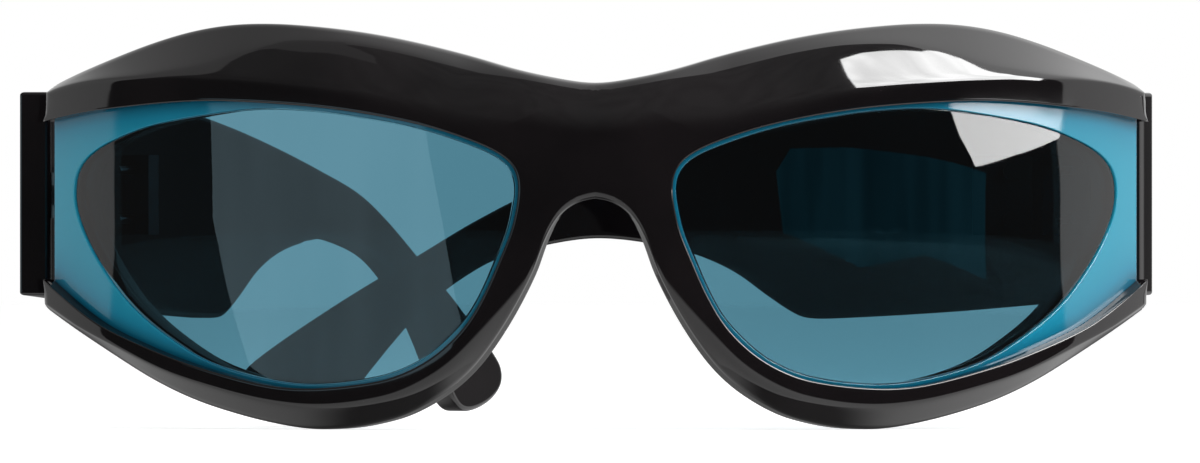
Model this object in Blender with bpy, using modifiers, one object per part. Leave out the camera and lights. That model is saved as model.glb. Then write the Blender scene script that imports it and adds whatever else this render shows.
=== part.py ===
"""Wraparound sunglasses: a black front with blue outer ends, tinted lenses and broad folding temples.

Lengths are in metres. +X is the wearer's left, +Y runs back from the lenses towards the ears and
+Z is up. The front is drawn flat, seen from straight ahead, and then wrapped round a cylinder.
"""

import math

import bmesh
import bpy
import numpy as np
from mathutils import Matrix, Vector

FULL_TURN = 2 * math.pi

# The front as a whole
FRONT_WIDTH = 0.1452
FRONT_HEIGHT = 0.0529
WRAP_ANGLE = math.radians(55.6)
CROWN_RADIUS = 0.160
FRONT_DEPTH = 0.0072
FACE_PLATE = 0.0016
REBATE_WIDTH = 0.0016
EDGE_BEVEL = 0.0003

# The facets of the brow and of the lower rims, as depths behind the foremost band
CREST_DEPTH = 0.0026
OUTLINE_DEPTH = 0.0048

# The layers behind the face plate
BLUE_THICKNESS = 0.0023
LIP_THICKNESS = 0.0010
LENS_LIP = 0.0011
LENS_FLANGE = 0.0010
LENS_SETBACK = 0.0002

# Fits
GAP = 0.0003
FIT = 0.0001
OVERRUN = 0.002
MERGE_DISTANCE = 0.0000002

# The hinges
HINGE_INSET = 0.0029
HINGE_REACH = 0.0076
HINGE_CENTRE_HEIGHT = 0.0306
BARREL_RADIUS = 0.0016
KNUCKLE_END_HEIGHT = 0.0017
KNUCKLE_MIDDLE_HEIGHT = 0.0020
PIN_RADIUS = 0.0008
PIN_HEAD_RADIUS = 0.0013
PIN_HEAD_HEIGHT = 0.0006
LEAF_HEIGHT = 0.0104
LEAF_THICKNESS = 0.0012
FRONT_PAD_THICKNESS = 0.0017
FRONT_PAD_LENGTH = 0.0082
FRONT_PAD_INSET = 0.0011
FRONT_ARM_WIDTH = 0.0024
FRONT_ARM_REACH = 0.0112
FRONT_ARM_LEAN = math.radians(8)
TEMPLE_LEAF_LENGTH = 0.0152
TEMPLE_LEAF_LEAD = 0.0012

# The small screws that hold the leaves
SCREW_RADIUS = 0.0006
SCREW_HEAD_RADIUS = 0.0011
SCREW_HEAD_HEIGHT = 0.0005
SCREW_DEPTH = 0.0021
SCREW_SPREAD = 0.0032
FRONT_SCREW_INSET = 0.0058
TEMPLE_SCREW_INSET = 0.0090

# The temples
TEMPLE_LENGTH = 0.1210
TEMPLE_THICKNESS = 0.0034
TEMPLE_SHY = 0.0008
TEMPLE_EDGE_BEVEL = 0.0005
PLATE_HEIGHT = 0.0268
PLATE_BOTTOM = 0.0174
WIRE_RADIUS = 0.0007
WIRE_SETBACK = 0.0036

# How far each temple is swung in from fully open: the left one lies folded, the right one half way
LEFT_SWING = math.radians(93)
RIGHT_SWING = math.radians(30)

HALF_WIDTH = FRONT_WIDTH / 2
WRAP_RADIUS = HALF_WIDTH / math.sin(WRAP_ANGLE)
CROWN_HEIGHT = FRONT_HEIGHT / 2
BLUE_FRONT = FACE_PLATE + GAP
BLUE_BACK = BLUE_FRONT + BLUE_THICKNESS
LIP_BACK = BLUE_FRONT + LIP_THICKNESS
INNER_RIM_FRONT = BLUE_BACK + GAP
LENS_FRONT = BLUE_FRONT + LENS_SETBACK
FLANGE_FRONT = LIP_BACK + GAP
LENS_BACK = BLUE_BACK
BARREL_HEIGHT = 2 * KNUCKLE_END_HEIGHT + KNUCKLE_MIDDLE_HEIGHT + 2 * GAP
BARREL_BOTTOM = HINGE_CENTRE_HEIGHT - BARREL_HEIGHT / 2
BARREL_TOP = HINGE_CENTRE_HEIGHT + BARREL_HEIGHT / 2

# Outlines of the wearer's left half, as shares of half the width and of the height
TOP_EDGE_SHARES = [
    (0, 0.852), (0.072, 0.865), (0.145, 0.887), (0.217, 0.916), (0.290, 0.942), (0.362, 0.964),
    (0.434, 0.981), (0.507, 0.993), (0.579, 1), (0.652, 0.998), (0.724, 0.983), (0.796, 0.955),
    (0.869, 0.918), (0.941, 0.877), (1, 0.837),
]
BOTTOM_EDGE_SHARES = [
    (1, 0.304), (0.941, 0.247), (0.869, 0.183), (0.796, 0.122), (0.724, 0.075), (0.652, 0.042),
    (0.579, 0.017), (0.507, 0.002), (0.434, 0.006), (0.362, 0.027), (0.326, 0.046), (0.290, 0.073),
    (0.253, 0.108), (0.217, 0.155), (0.181, 0.220), (0.145, 0.299), (0.110, 0.391), (0.097, 0.441),
    (0.079, 0.498), (0.061, 0.533), (0.041, 0.553), (0.023, 0.565), (0, 0.569),
]
FACE_OPENING_SHARES = [
    (1, 0.761), (0.923, 0.783), (0.842, 0.796), (0.769, 0.805), (0.697, 0.809), (0.628, 0.806),
    (0.559, 0.800), (0.489, 0.791), (0.420, 0.778), (0.353, 0.761), (0.284, 0.738), (0.217, 0.707),
    (0.174, 0.680), (0.152, 0.657), (0.140, 0.630), (0.137, 0.595), (0.141, 0.545), (0.152, 0.483),
    (0.173, 0.414), (0.194, 0.347), (0.223, 0.275), (0.255, 0.222), (0.293, 0.178), (0.331, 0.148),
    (0.375, 0.125), (0.434, 0.111), (0.498, 0.103), (0.552, 0.104), (0.603, 0.114), (0.673, 0.138),
    (0.744, 0.168), (0.813, 0.205), (0.878, 0.245), (0.914, 0.275), (0.952, 0.314), (1, 0.369),
]
LENS_OPENING_SHARES = [
    (0.943, 0.592), (0.937, 0.642), (0.912, 0.682), (0.872, 0.714), (0.800, 0.751), (0.688, 0.779),
    (0.590, 0.792), (0.489, 0.784), (0.420, 0.770), (0.353, 0.754), (0.286, 0.730), (0.220, 0.699),
    (0.177, 0.673), (0.157, 0.652), (0.146, 0.627), (0.142, 0.595), (0.147, 0.547), (0.157, 0.486),
    (0.178, 0.416), (0.199, 0.350), (0.227, 0.280), (0.260, 0.229), (0.297, 0.184), (0.334, 0.155),
    (0.377, 0.133), (0.435, 0.118), (0.498, 0.111), (0.560, 0.116), (0.633, 0.137), (0.702, 0.170),
    (0.760, 0.217), (0.813, 0.271), (0.855, 0.329), (0.893, 0.401), (0.922, 0.473), (0.940, 0.541),
]
POLE_SHARES = (0.543, 0.478)

# Round the lens from the outer end over the brow, down the nose and out along the lower rim: the
# angle in degrees, the shares of the rim's width where the front band and the crest lie, and the
# shares of CREST_DEPTH and OUTLINE_DEPTH that the crest and the outline are set back there
FACET_SHARES = [
    (24, 0.95, 1, 0, 0), (30, 0.75, 0.98, 0, 0.25), (45, 0.52, 0.56, 0.05, 0.75),
    (61, 0.33, 0.50, 0.35, 1), (75, 0.28, 0.66, 0.8, 1), (90, 0.25, 0.79, 1, 1),
    (106, 0.25, 0.86, 1, 1), (125, 0.25, 0.88, 0.9, 0.95), (140, 0.24, 0.80, 0.5, 0.85),
    (153, 0.23, 0.65, 0.25, 0.70), (156, 0.30, 0.65, 0.1, 0.25), (160, 0.30, 0.60, 0, 0.04),
    (173, 0.30, 0.70, 0, 0.10), (180, 0.30, 0.75, 0, 0.25), (200, 0.35, 0.70, 0.1, 0.35),
    (220, 0.40, 0.62, 0.15, 0.50), (240, 0.40, 0.50, 0.1, 0.60), (270, 0.38, 0.42, 0.02, 0.60),
    (300, 0.42, 0.46, 0.02, 0.60), (330, 0.60, 0.64, 0, 0.40), (344, 0.95, 0.98, 0, 0.05),
    (351, 0.97, 1, 0, 0),
]

# The temple's outline from the hinge end along the top edge to the tip, and back along the lower
# edge, as shares of its length and of the plate's height, measured from the plate's lower corner
TEMPLE_TOP_SHARES = [
    (0, 1), (0.10, 0.993), (0.21, 0.966), (0.31, 0.910), (0.41, 0.828), (0.51, 0.724),
    (0.60, 0.616), (0.68, 0.507), (0.744, 0.366), (0.81, 0.187), (0.876, 0.011), (0.942, -0.183),
    (0.985, -0.325),
]
TEMPLE_TIP_SHARES = [
    (0.998, -0.395), (0.997, -0.470), (0.978, -0.540), (0.946, -0.590), (0.913, -0.602),
    (0.889, -0.545),
]
TEMPLE_LOWER_SHARES = [
    (0.869, -0.425), (0.839, -0.254), (0.802, -0.067), (0.760, 0.082), (0.719, 0.183),
    (0.669, 0.246), (0.616, 0.280), (0.562, 0.261), (0.507, 0.205), (0.463, 0.119), (0.426, 0),
    (0.401, -0.075), (0.380, -0.112), (0.330, -0.108), (0.231, -0.082), (0.132, -0.045),
    (0.05, -0.015), (0, 0),
]
WIRE_SHARES = [
    (0.24, 0.498), (0.35, 0.490), (0.50, 0.480), (0.60, 0.450), (0.68, 0.366), (0.75, 0.215),
    (0.82, 0.020), (0.88, -0.170), (0.93, -0.330),
]

# Counts of samples, sides and stations
CURVE_SAMPLES = 12
RIM_STATIONS = 60
SPREAD_ROWS = 3
LENS_ROWS = 3
BORE_SIDES = 16
SCREW_SIDES = 12

BLACK_ACETATE = ("black_acetate", (0.010, 0.008, 0.009), 0.08, 0)
BLUE_ACETATE = ("blue_acetate", (0.035, 0.250, 0.400), 0.12, 0)
LENS_TINT = ("teal_lens", (0.020, 0.120, 0.160), 0.03, 0)
HINGE_STEEL = ("hinge_steel", (0.620, 0.630, 0.620), 0.25, 1)
WIRE_STEEL = ("core_wire_steel", (0.450, 0.450, 0.460), 0.35, 1)


def clear_scene():
    for item in list(bpy.data.objects):
        bpy.data.objects.remove(item, do_unlink=True)


def new_collection(name):
    made = bpy.data.collections.new(name)
    bpy.context.scene.collection.children.link(made)
    return made


def material_of(finish):
    name, colour, roughness, metallic = finish
    made = bpy.data.materials.new(name)
    made.use_nodes = True
    shader = made.node_tree.nodes["Principled BSDF"]
    shader.inputs["Base Color"].default_value = (*colour, 1)
    shader.inputs["Roughness"].default_value = roughness
    shader.inputs["Metallic"].default_value = metallic
    return made


def new_object(name, shape, collection, parent, finish=None):
    """An object from a bmesh, smooth where its faces meet at a small angle."""
    bmesh.ops.remove_doubles(shape, verts=shape.verts, dist=MERGE_DISTANCE)
    bmesh.ops.dissolve_degenerate(shape, edges=shape.edges, dist=MERGE_DISTANCE)
    bmesh.ops.recalc_face_normals(shape, faces=shape.faces)
    mesh = bpy.data.meshes.new(name)
    shape.to_mesh(mesh)
    shape.free()
    mesh.shade_smooth()
    mesh.set_sharp_from_angle(angle=math.radians(32))
    made = bpy.data.objects.new(name, mesh)
    collection.objects.link(made)
    made.parent = parent
    if finish:
        mesh.materials.append(material_of(finish))
    else:
        made.hide_render = True
        made.display_type = "WIRE"
    return made


def boolean(target, other, operation="DIFFERENCE"):
    step = target.modifiers.new(operation.lower(), "BOOLEAN")
    step.operation = operation
    step.solver = "EXACT"
    step.object = other


def smooth_curve(points, closed=False):
    """A Catmull-Rom curve through the points, as an array of close samples."""
    points = np.asarray(points, float)
    if closed:
        points = np.vstack([points[-1:], points, points[:2]])
    else:
        points = np.vstack([2 * points[0] - points[1], points, 2 * points[-1] - points[-2]])
    step = np.linspace(0, 1, CURVE_SAMPLES, endpoint=False)[:, None]
    spans = []
    for a, b, c, d in zip(points[:-3], points[1:-2], points[2:-1], points[3:]):
        cubic = (3 * b - 3 * c + d - a) * step**3
        square = (2 * a - 5 * b + 4 * c - d) * step**2
        spans.append((cubic + square + (c - a) * step) / 2 + b)
    return np.vstack(spans + [points[-2:-1]])


def straight(start, end):
    step = np.linspace(0, 1, 4 * CURVE_SAMPLES)[:, None]
    return np.asarray(start) * (1 - step) + np.asarray(end) * step


def flat_points(shares):
    return np.asarray(shares, float) * (HALF_WIDTH, FRONT_HEIGHT)


def half_outline():
    """The left half's outline, closed a little past the middle plane."""
    top = smooth_curve(flat_points(TOP_EDGE_SHARES))
    bottom = smooth_curve(flat_points(BOTTOM_EDGE_SHARES))
    past_top = (-OVERRUN, top[0][1])
    past_bottom = (-OVERRUN, bottom[-1][1])
    return np.vstack([
        straight(past_top, top[0]), top, straight(top[-1], bottom[0]), bottom,
        straight(bottom[-1], past_bottom), straight(past_bottom, past_top),
    ])


def outline_corners():
    top = flat_points(TOP_EDGE_SHARES)
    bottom = flat_points(BOTTOM_EDGE_SHARES)
    return [top[-1], bottom[0], (-OVERRUN, top[0][1]), (-OVERRUN, bottom[-1][1])]


def polar(points):
    """Angles and distances of flat points about the pole, a point inside the lens."""
    offsets = np.atleast_2d(points) - flat_points(POLE_SHARES)
    return np.arctan2(offsets[:, 1], offsets[:, 0]) % FULL_TURN, np.hypot(*offsets.T)


def distance_to(curve, angles):
    around, distances = polar(curve)
    return np.interp(angles, around, distances, period=FULL_TURN)


def rim_angles():
    """Angles about the pole, evenly spaced along the lens's edge, and at every corner."""
    curve = smooth_curve(flat_points(LENS_OPENING_SHARES), closed=True)
    along = np.cumsum(np.hypot(*np.diff(curve, axis=0, prepend=curve[:1]).T))
    even = np.linspace(0, along[-1], RIM_STATIONS, endpoint=False)
    points = np.column_stack([np.interp(even, along, curve[:, axis]) for axis in (0, 1)])
    opening = flat_points(FACE_OPENING_SHARES)
    corners = polar(np.vstack([outline_corners(), opening[:1], opening[-1:]]))[0]
    spread = polar(points)[0]
    near = np.abs(spread[:, None] - corners[None, :]).min(axis=1) < math.radians(0.8)
    return np.sort(np.concatenate([spread[~near], corners]))


def wrapped(flat, depth, side=1):
    """Flat points at a depth behind the front's face, wrapped round the head. The slight curve up
    and down fades towards the outer ends, which are upright where the temples meet them."""
    turn = np.arcsin(flat[..., 0] / WRAP_RADIUS)
    radius = WRAP_RADIUS - depth
    fade = 1 - (flat[..., 0] / HALF_WIDTH) ** 4
    crown = fade * (flat[..., 1] - CROWN_HEIGHT) ** 2 / (2 * CROWN_RADIUS)
    return np.stack(
        [side * radius * np.sin(turn), WRAP_RADIUS - radius * np.cos(turn) + crown, flat[..., 1]],
        axis=-1,
    )


def swept_section(angles, rows, side, around, closed):
    """A solid whose section is carried round the lens. A row holds a distance and a depth for
    each angle. around joins the last row to the first, closed the last angle to the first."""
    shape = bmesh.new()
    grid = []
    for distance, depth in rows:
        outward = np.stack([np.cos(angles), np.sin(angles)], axis=-1)
        flat = flat_points(POLE_SHARES) + outward * np.broadcast_to(distance, angles.shape)[:, None]
        points = wrapped(flat, np.broadcast_to(depth, angles.shape), side)
        grid.append([shape.verts.new(point) for point in points])
    row_count = len(grid)
    angle_count = len(angles)
    for row in range(row_count if around else row_count - 1):
        here, there = grid[row], grid[(row + 1) % row_count]
        for step in range(angle_count if closed else angle_count - 1):
            after = (step + 1) % angle_count
            shape.faces.new((here[step], here[after], there[after], there[step]))
    return shape


def between(inner, outer, depth, count=SPREAD_ROWS):
    """Rows spread from one distance to another at one depth, both ends included."""
    return [(inner + (outer - inner) * share, depth) for share in np.linspace(0, 1, count + 1)]


def rim_limits(angles):
    """The lens opening, the edge of the rebate that holds the layers, and the outline."""
    lens = distance_to(smooth_curve(flat_points(LENS_OPENING_SHARES), closed=True), angles)
    opening = distance_to(smooth_curve(flat_points(FACE_OPENING_SHARES)), angles)
    outline = distance_to(half_outline(), angles)
    return lens, opening, outline


def front_strip(angles):
    """The black part of the left half, before the rebate is cut from behind."""
    ends = polar(flat_points(FACE_OPENING_SHARES)[[0, -1]])[0]
    angles = angles[(angles >= ends[0]) & (angles <= ends[1])]
    opening, outline = rim_limits(angles)[1:]
    opening[[0, -1]] = outline[[0, -1]]
    width = outline - opening
    table = np.asarray(FACET_SHARES, float).T
    band, crest, crest_depth, outline_depth = (
        np.interp(np.degrees(angles), table[0], column) for column in table[1:]
    )
    crest_depth = crest_depth * CREST_DEPTH
    outline_depth = outline_depth * OUTLINE_DEPTH
    outline_depth[[0, -1]] = 0
    crest_depth[[0, -1]] = 0
    bevel = np.minimum(EDGE_BEVEL, width / 6)
    rows = [
        (opening, FRONT_DEPTH),
        (opening, bevel),
        (opening + bevel, 0 * width),
        (opening + width * band * 0.6, 0 * width),
        (opening + width * band, 0 * width),
        (opening + width * (band + crest) / 2, crest_depth / 2),
        (opening + width * crest, crest_depth),
        (opening + width * (crest + 1) / 2, (crest_depth + outline_depth) / 2),
        (outline, outline_depth),
    ]
    rows += between(outline, opening, FRONT_DEPTH)[:-1]
    return swept_section(angles, rows, 1, around=True, closed=False)


def pocket_disc(angles, side):
    """The space for the layers and the lens behind the face plate, open at the outer end."""
    opening, outline = rim_limits(angles)[1:]
    edge = np.where(opening > outline, outline + OVERRUN, opening + REBATE_WIDTH)
    back = FRONT_DEPTH + OVERRUN
    rows = between(0 * edge, edge, FACE_PLATE, LENS_ROWS)
    rows += between(edge, 0 * edge, back, LENS_ROWS)
    return swept_section(angles, rows, side, around=False, closed=True)


def layer_edge(angles):
    """How far the layers reach: to the rebate's wall, or to the end of the front."""
    opening, outline = rim_limits(angles)[1:]
    return np.minimum(opening + REBATE_WIDTH - GAP, outline)


def blue_ring(angles, side):
    lens = rim_limits(angles)[0]
    outer = layer_edge(angles)
    seat = lens + LENS_LIP
    rows = between(lens, outer, BLUE_FRONT) + between(outer, seat, BLUE_BACK)
    rows += [(seat, LIP_BACK), (lens, LIP_BACK)]
    return swept_section(angles, rows, side, around=True, closed=True)


def inner_ring(angles, side):
    lens = rim_limits(angles)[0]
    outer = layer_edge(angles)
    rows = between(lens, outer, INNER_RIM_FRONT) + between(outer, lens, FRONT_DEPTH)
    return swept_section(angles, rows, side, around=True, closed=True)


def lens_disc(angles, side):
    edge = rim_limits(angles)[0] - GAP
    flange = edge + LENS_FLANGE
    rows = between(0 * edge, edge, LENS_FRONT, LENS_ROWS)
    rows += [(edge, FLANGE_FRONT), (flange, FLANGE_FRONT)]
    rows += between(flange, 0 * edge, LENS_BACK, LENS_ROWS)
    return swept_section(angles, rows, side, around=False, closed=True)


def end_point(depth):
    """Plan position of the front's outer end, on the left, at a depth behind its face."""
    flat = np.array([HALF_WIDTH, HINGE_CENTRE_HEIGHT])
    return Vector(wrapped(flat, np.float64(depth))[:2])


def hinge_point():
    corner = end_point(FRONT_DEPTH)
    return Vector((corner.x - HINGE_INSET, corner.y + HINGE_REACH))


def temple_faces():
    """Distances of the temple's outer and inner faces from the hinge's axis."""
    outer = end_point(0).x - TEMPLE_SHY - hinge_point().x
    return outer, outer - TEMPLE_THICKNESS


def butt_start():
    """Where the temple's outer face begins, measured back from the hinge's axis."""
    outer_corner, inner_corner = end_point(0), end_point(FRONT_DEPTH)
    slope = (inner_corner.y - outer_corner.y) / (outer_corner.x - inner_corner.x)
    face_length = (outer_corner - inner_corner).length
    gap_along = GAP * face_length / (outer_corner.x - inner_corner.x)
    return outer_corner.y + slope * TEMPLE_SHY + gap_along - hinge_point().y


def cylinder(name, radius, start, end, sides, collection, parent, finish=None):
    """A cylinder between the centres of its two ends."""
    start, end = Vector(start), Vector(end)
    run = end - start
    place = Matrix.Translation((start + end) / 2) @ run.to_track_quat("Z", "Y").to_matrix().to_4x4()
    shape = bmesh.new()
    bmesh.ops.create_cone(
        shape, cap_ends=True, segments=sides, radius1=radius, radius2=radius, depth=run.length,
        matrix=place,
    )
    return new_object(name, shape, collection, parent, finish)


def box(name, low, high, collection, parent, finish=None, place=None):
    """A box between two corners, turned by the matrix place."""
    low, high = Vector(low), Vector(high)
    shape = bmesh.new()
    bmesh.ops.create_cube(shape, size=1)
    scale = Matrix.Diagonal((*(high - low), 1))
    bmesh.ops.transform(
        shape, matrix=(place or Matrix()) @ Matrix.Translation((low + high) / 2) @ scale,
        verts=shape.verts,
    )
    return new_object(name, shape, collection, parent, finish)


def tube(name, points, radius, collection, parent, finish=None):
    """A round wire through the points, as a closed mesh."""
    curve = bpy.data.curves.new(name, "CURVE")
    curve.dimensions = "3D"
    curve.bevel_depth = radius
    curve.bevel_resolution = 2
    curve.use_fill_caps = True
    spline = curve.splines.new("POLY")
    spline.points.add(len(points) - 1)
    for place, point in zip(spline.points, points):
        place.co = (*point, 1)
    guide = bpy.data.objects.new(name + "_guide", curve)
    bpy.context.scene.collection.objects.link(guide)
    bpy.context.view_layer.update()
    evaluated = guide.evaluated_get(bpy.context.evaluated_depsgraph_get())
    shape = bmesh.new()
    shape.from_mesh(bpy.data.meshes.new_from_object(evaluated))
    bpy.data.objects.remove(guide, do_unlink=True)
    return new_object(name, shape, collection, parent, finish)


def make_front(parts, cutters, root):
    angles = rim_angles()
    front = new_object("front_frame", front_strip(angles), parts, root, BLACK_ACETATE)
    mirror = front.modifiers.new("mirror", "MIRROR")
    mirror.use_bisect_axis[0] = True
    mirror.merge_threshold = MERGE_DISTANCE
    for side, word in ((1, "left"), (-1, "right")):
        pocket = new_object("pocket_" + word, pocket_disc(angles, side), cutters, root)
        boolean(front, pocket)
        new_object("blue_layer_" + word, blue_ring(angles, side), parts, root, BLUE_ACETATE)
        new_object("inner_rim_" + word, inner_ring(angles, side), parts, root, BLACK_ACETATE)
        new_object("lens_" + word, lens_disc(angles, side), parts, root, LENS_TINT)


def pad_solid(side, low_x, high_x):
    """The front leaf's pad, bent to lie on the inner rim."""
    shape = bmesh.new()
    low_z = HINGE_CENTRE_HEIGHT - LEAF_HEIGHT / 2
    heights = np.linspace(low_z, low_z + LEAF_HEIGHT, SPREAD_ROWS + 1)
    across = np.linspace(low_x, high_x, 2 * SPREAD_ROWS + 1)
    flat = np.stack(np.meshgrid(across, heights), axis=-1)
    near = FRONT_DEPTH + GAP
    layers = [wrapped(flat, np.float64(depth), side) for depth in (near, near + FRONT_PAD_THICKNESS)]
    corners = [[[shape.verts.new(point) for point in row] for row in layer] for layer in layers]
    for row in range(len(heights) - 1):
        for step in range(len(across) - 1):
            for layer in corners:
                shape.faces.new((
                    layer[row][step], layer[row][step + 1],
                    layer[row + 1][step + 1], layer[row + 1][step],
                ))
    for row in range(len(heights) - 1):
        for step in (0, -1):
            shape.faces.new((
                corners[0][row][step], corners[0][row + 1][step],
                corners[1][row + 1][step], corners[1][row][step],
            ))
    for step in range(len(across) - 1):
        for row in (0, -1):
            shape.faces.new((
                corners[0][row][step], corners[0][row][step + 1],
                corners[1][row][step + 1], corners[1][row][step],
            ))
    return shape


def screw(name, head_top, inward, shank, parts, cutters, parent, holders):
    """A small screw: a flat head, then a shank that goes inward into every holder."""
    head_top, inward = Vector(head_top), Vector(inward).normalized()
    head_base = head_top + inward * SCREW_HEAD_HEIGHT
    tip = head_base + inward * shank
    made = cylinder(
        name, SCREW_HEAD_RADIUS, head_top, head_base, SCREW_SIDES, parts, parent, HINGE_STEEL
    )
    stem_start = head_base - inward * SCREW_HEAD_HEIGHT / 2
    stem = cylinder(name + "_stem", SCREW_RADIUS, stem_start, tip, SCREW_SIDES, cutters, parent)
    boolean(made, stem, "UNION")
    hole = cylinder(
        name + "_hole", SCREW_RADIUS + FIT, head_base - inward * OVERRUN, tip + inward * GAP,
        SCREW_SIDES, cutters, parent,
    )
    for holder in holders:
        boolean(holder, hole)


def make_front_leaf(side, word, parts, cutters, root):
    """The hinge half on the front: a bent pad, an arm back to the axis, and two knuckles."""
    hinge = hinge_point()
    high_x = HALF_WIDTH - FRONT_PAD_INSET
    leaf = new_object(
        "hinge_front_leaf_" + word, pad_solid(side, high_x - FRONT_PAD_LENGTH, high_x), parts, root,
        HINGE_STEEL,
    )
    place = Matrix.Translation((side * hinge.x, hinge.y, 0))
    turn = place @ Matrix.Rotation(-side * FRONT_ARM_LEAN, 4, "Z")
    arm = box(
        "front_arm_" + word, (-FRONT_ARM_WIDTH / 2, -FRONT_ARM_REACH, BARREL_BOTTOM),
        (FRONT_ARM_WIDTH / 2, 0, BARREL_TOP), cutters, root, place=turn,
    )
    barrel = cylinder(
        "front_barrel_" + word, BARREL_RADIUS, (side * hinge.x, hinge.y, BARREL_BOTTOM),
        (side * hinge.x, hinge.y, BARREL_TOP), BORE_SIDES, cutters, root,
    )
    slot_half = KNUCKLE_MIDDLE_HEIGHT / 2 + GAP
    slot = cylinder(
        "front_slot_" + word, BARREL_RADIUS + FIT + GAP,
        (side * hinge.x, hinge.y, HINGE_CENTRE_HEIGHT - slot_half),
        (side * hinge.x, hinge.y, HINGE_CENTRE_HEIGHT + slot_half), BORE_SIDES, cutters, root,
    )
    bore = cylinder(
        "front_bore_" + word, PIN_RADIUS + FIT,
        (side * hinge.x, hinge.y, BARREL_BOTTOM - OVERRUN),
        (side * hinge.x, hinge.y, BARREL_TOP + OVERRUN), BORE_SIDES, cutters, root,
    )
    boolean(leaf, arm, "UNION")
    boolean(leaf, barrel, "UNION")
    boolean(leaf, slot)
    boolean(leaf, bore)
    rim = bpy.data.objects["inner_rim_" + word]
    screw_x = high_x - FRONT_SCREW_INSET
    for level, rise in (("upper", SCREW_SPREAD), ("lower", -SCREW_SPREAD)):
        flat = np.array([screw_x, HINGE_CENTRE_HEIGHT + rise])
        head_depth = FRONT_DEPTH + GAP + FRONT_PAD_THICKNESS + FIT + SCREW_HEAD_HEIGHT
        head = Vector(wrapped(flat, np.float64(head_depth), side))
        surface = Vector(wrapped(flat, np.float64(FRONT_DEPTH), side))
        shank = FRONT_PAD_THICKNESS + GAP + SCREW_DEPTH
        name = f"front_leaf_screw_{word}_{level}"
        screw(name, head, surface - head, shank, parts, cutters, root, (leaf, rim))


def make_temple(side, word, swing, parts, cutters, root):
    """One temple with its leaf, screws, hinge pin and core wire, drawn open about its axis."""
    hinge = hinge_point()
    axis = bpy.data.objects.new("hinge_axis_" + word, None)
    parts.objects.link(axis)
    axis.parent = root
    axis.location = (side * hinge.x, hinge.y, 0)
    axis.rotation_euler = (0, 0, side * swing)
    outer, inner = temple_faces()
    temple = new_object("temple_" + word, temple_solid(side, outer, inner), parts, axis, BLACK_ACETATE)
    cut_butt(temple, side, word, cutters, axis)
    soften = temple.modifiers.new("soften", "BEVEL")
    soften.width = TEMPLE_EDGE_BEVEL
    soften.segments = 1
    soften.limit_method = "ANGLE"
    soften.angle_limit = math.radians(50)
    add_core_wire(temple, side, word, (outer + inner) / 2, parts, cutters, axis)
    leaf = add_temple_leaf(side, word, inner, parts, cutters, axis)
    for level, rise in (("upper", SCREW_SPREAD), ("lower", -SCREW_SPREAD)):
        head = inner - GAP - LEAF_THICKNESS - FIT - SCREW_HEAD_HEIGHT
        screw(
            f"temple_leaf_screw_{word}_{level}",
            (side * head, TEMPLE_SCREW_INSET, HINGE_CENTRE_HEIGHT + rise), (side, 0, 0),
            LEAF_THICKNESS + GAP + SCREW_DEPTH, parts, cutters, axis, (leaf, temple),
        )
    add_hinge_screw(word, parts, cutters, axis)


def temple_curve(shares):
    """Temple shares as distances back from the hinge's axis, and heights."""
    points = np.asarray(shares, float) * (TEMPLE_LENGTH, PLATE_HEIGHT)
    return points + (butt_start(), PLATE_BOTTOM)


def temple_outline():
    upper = smooth_curve(temple_curve(TEMPLE_TOP_SHARES + TEMPLE_TIP_SHARES))[::4]
    lower = smooth_curve(temple_curve(TEMPLE_TIP_SHARES[-1:] + TEMPLE_LOWER_SHARES))[::4]
    lead = np.array([[-OVERRUN, 0]])
    return np.vstack([upper[:1] + lead, upper, lower[1:], lower[-1:] + lead])


def temple_solid(side, outer, inner):
    shape = bmesh.new()
    corners = [shape.verts.new((side * inner, back, height)) for back, height in temple_outline()]
    face = shape.faces.new(corners)
    pulled = bmesh.ops.extrude_face_region(shape, geom=[face])["geom"]
    moved = [item for item in pulled if isinstance(item, bmesh.types.BMVert)]
    bmesh.ops.translate(shape, verts=moved, vec=(side * (outer - inner), 0, 0))
    return shape


def cut_butt(temple, side, word, cutters, axis):
    """Cuts the temple's hinge end parallel to the end of the front that it meets."""
    hinge = hinge_point()
    outer_corner, inner_corner = end_point(0) - hinge, end_point(FRONT_DEPTH) - hinge
    along = (inner_corner - outer_corner).normalized()
    facing = Vector((along.y, -along.x))
    middle = (outer_corner + inner_corner) / 2 + facing * GAP
    tilt = math.atan2(facing.y, facing.x)
    reach = TEMPLE_THICKNESS * 4
    place = Matrix.Translation((side * middle.x, middle.y, 0))
    place = place @ Matrix.Rotation(tilt if side > 0 else math.pi - tilt, 4, "Z")
    cutter = box(
        "butt_cutter_" + word, (-reach, -reach, -OVERRUN), (0, reach, FRONT_HEIGHT + OVERRUN),
        cutters, axis, place=place,
    )
    boolean(temple, cutter)


def wire_route():
    """The core wire's way: level between the leaf's screws, then down the middle of the temple."""
    starts = (butt_start() + WIRE_SETBACK, TEMPLE_SCREW_INSET, TEMPLE_LEAF_LENGTH)
    level = [(back, HINGE_CENTRE_HEIGHT) for back in starts]
    return smooth_curve(np.vstack([level, temple_curve(WIRE_SHARES)]))[::4]


def add_core_wire(temple, side, word, offset, parts, cutters, axis):
    """A round steel wire in a channel that opens at the hinge end."""
    points = [(side * offset, back, height) for back, height in wire_route()]
    tube("core_wire_" + word, points, WIRE_RADIUS, parts, axis, WIRE_STEEL)
    lead = (points[0][0], points[0][1] - TEMPLE_THICKNESS * 3, points[0][2])
    last = Vector(points[-1]) + (Vector(points[-1]) - Vector(points[-2])).normalized() * GAP
    channel = tube(
        "wire_channel_" + word, [lead, *points[:-1], tuple(last)], WIRE_RADIUS + GAP, cutters, axis
    )
    boolean(temple, channel)


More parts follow.
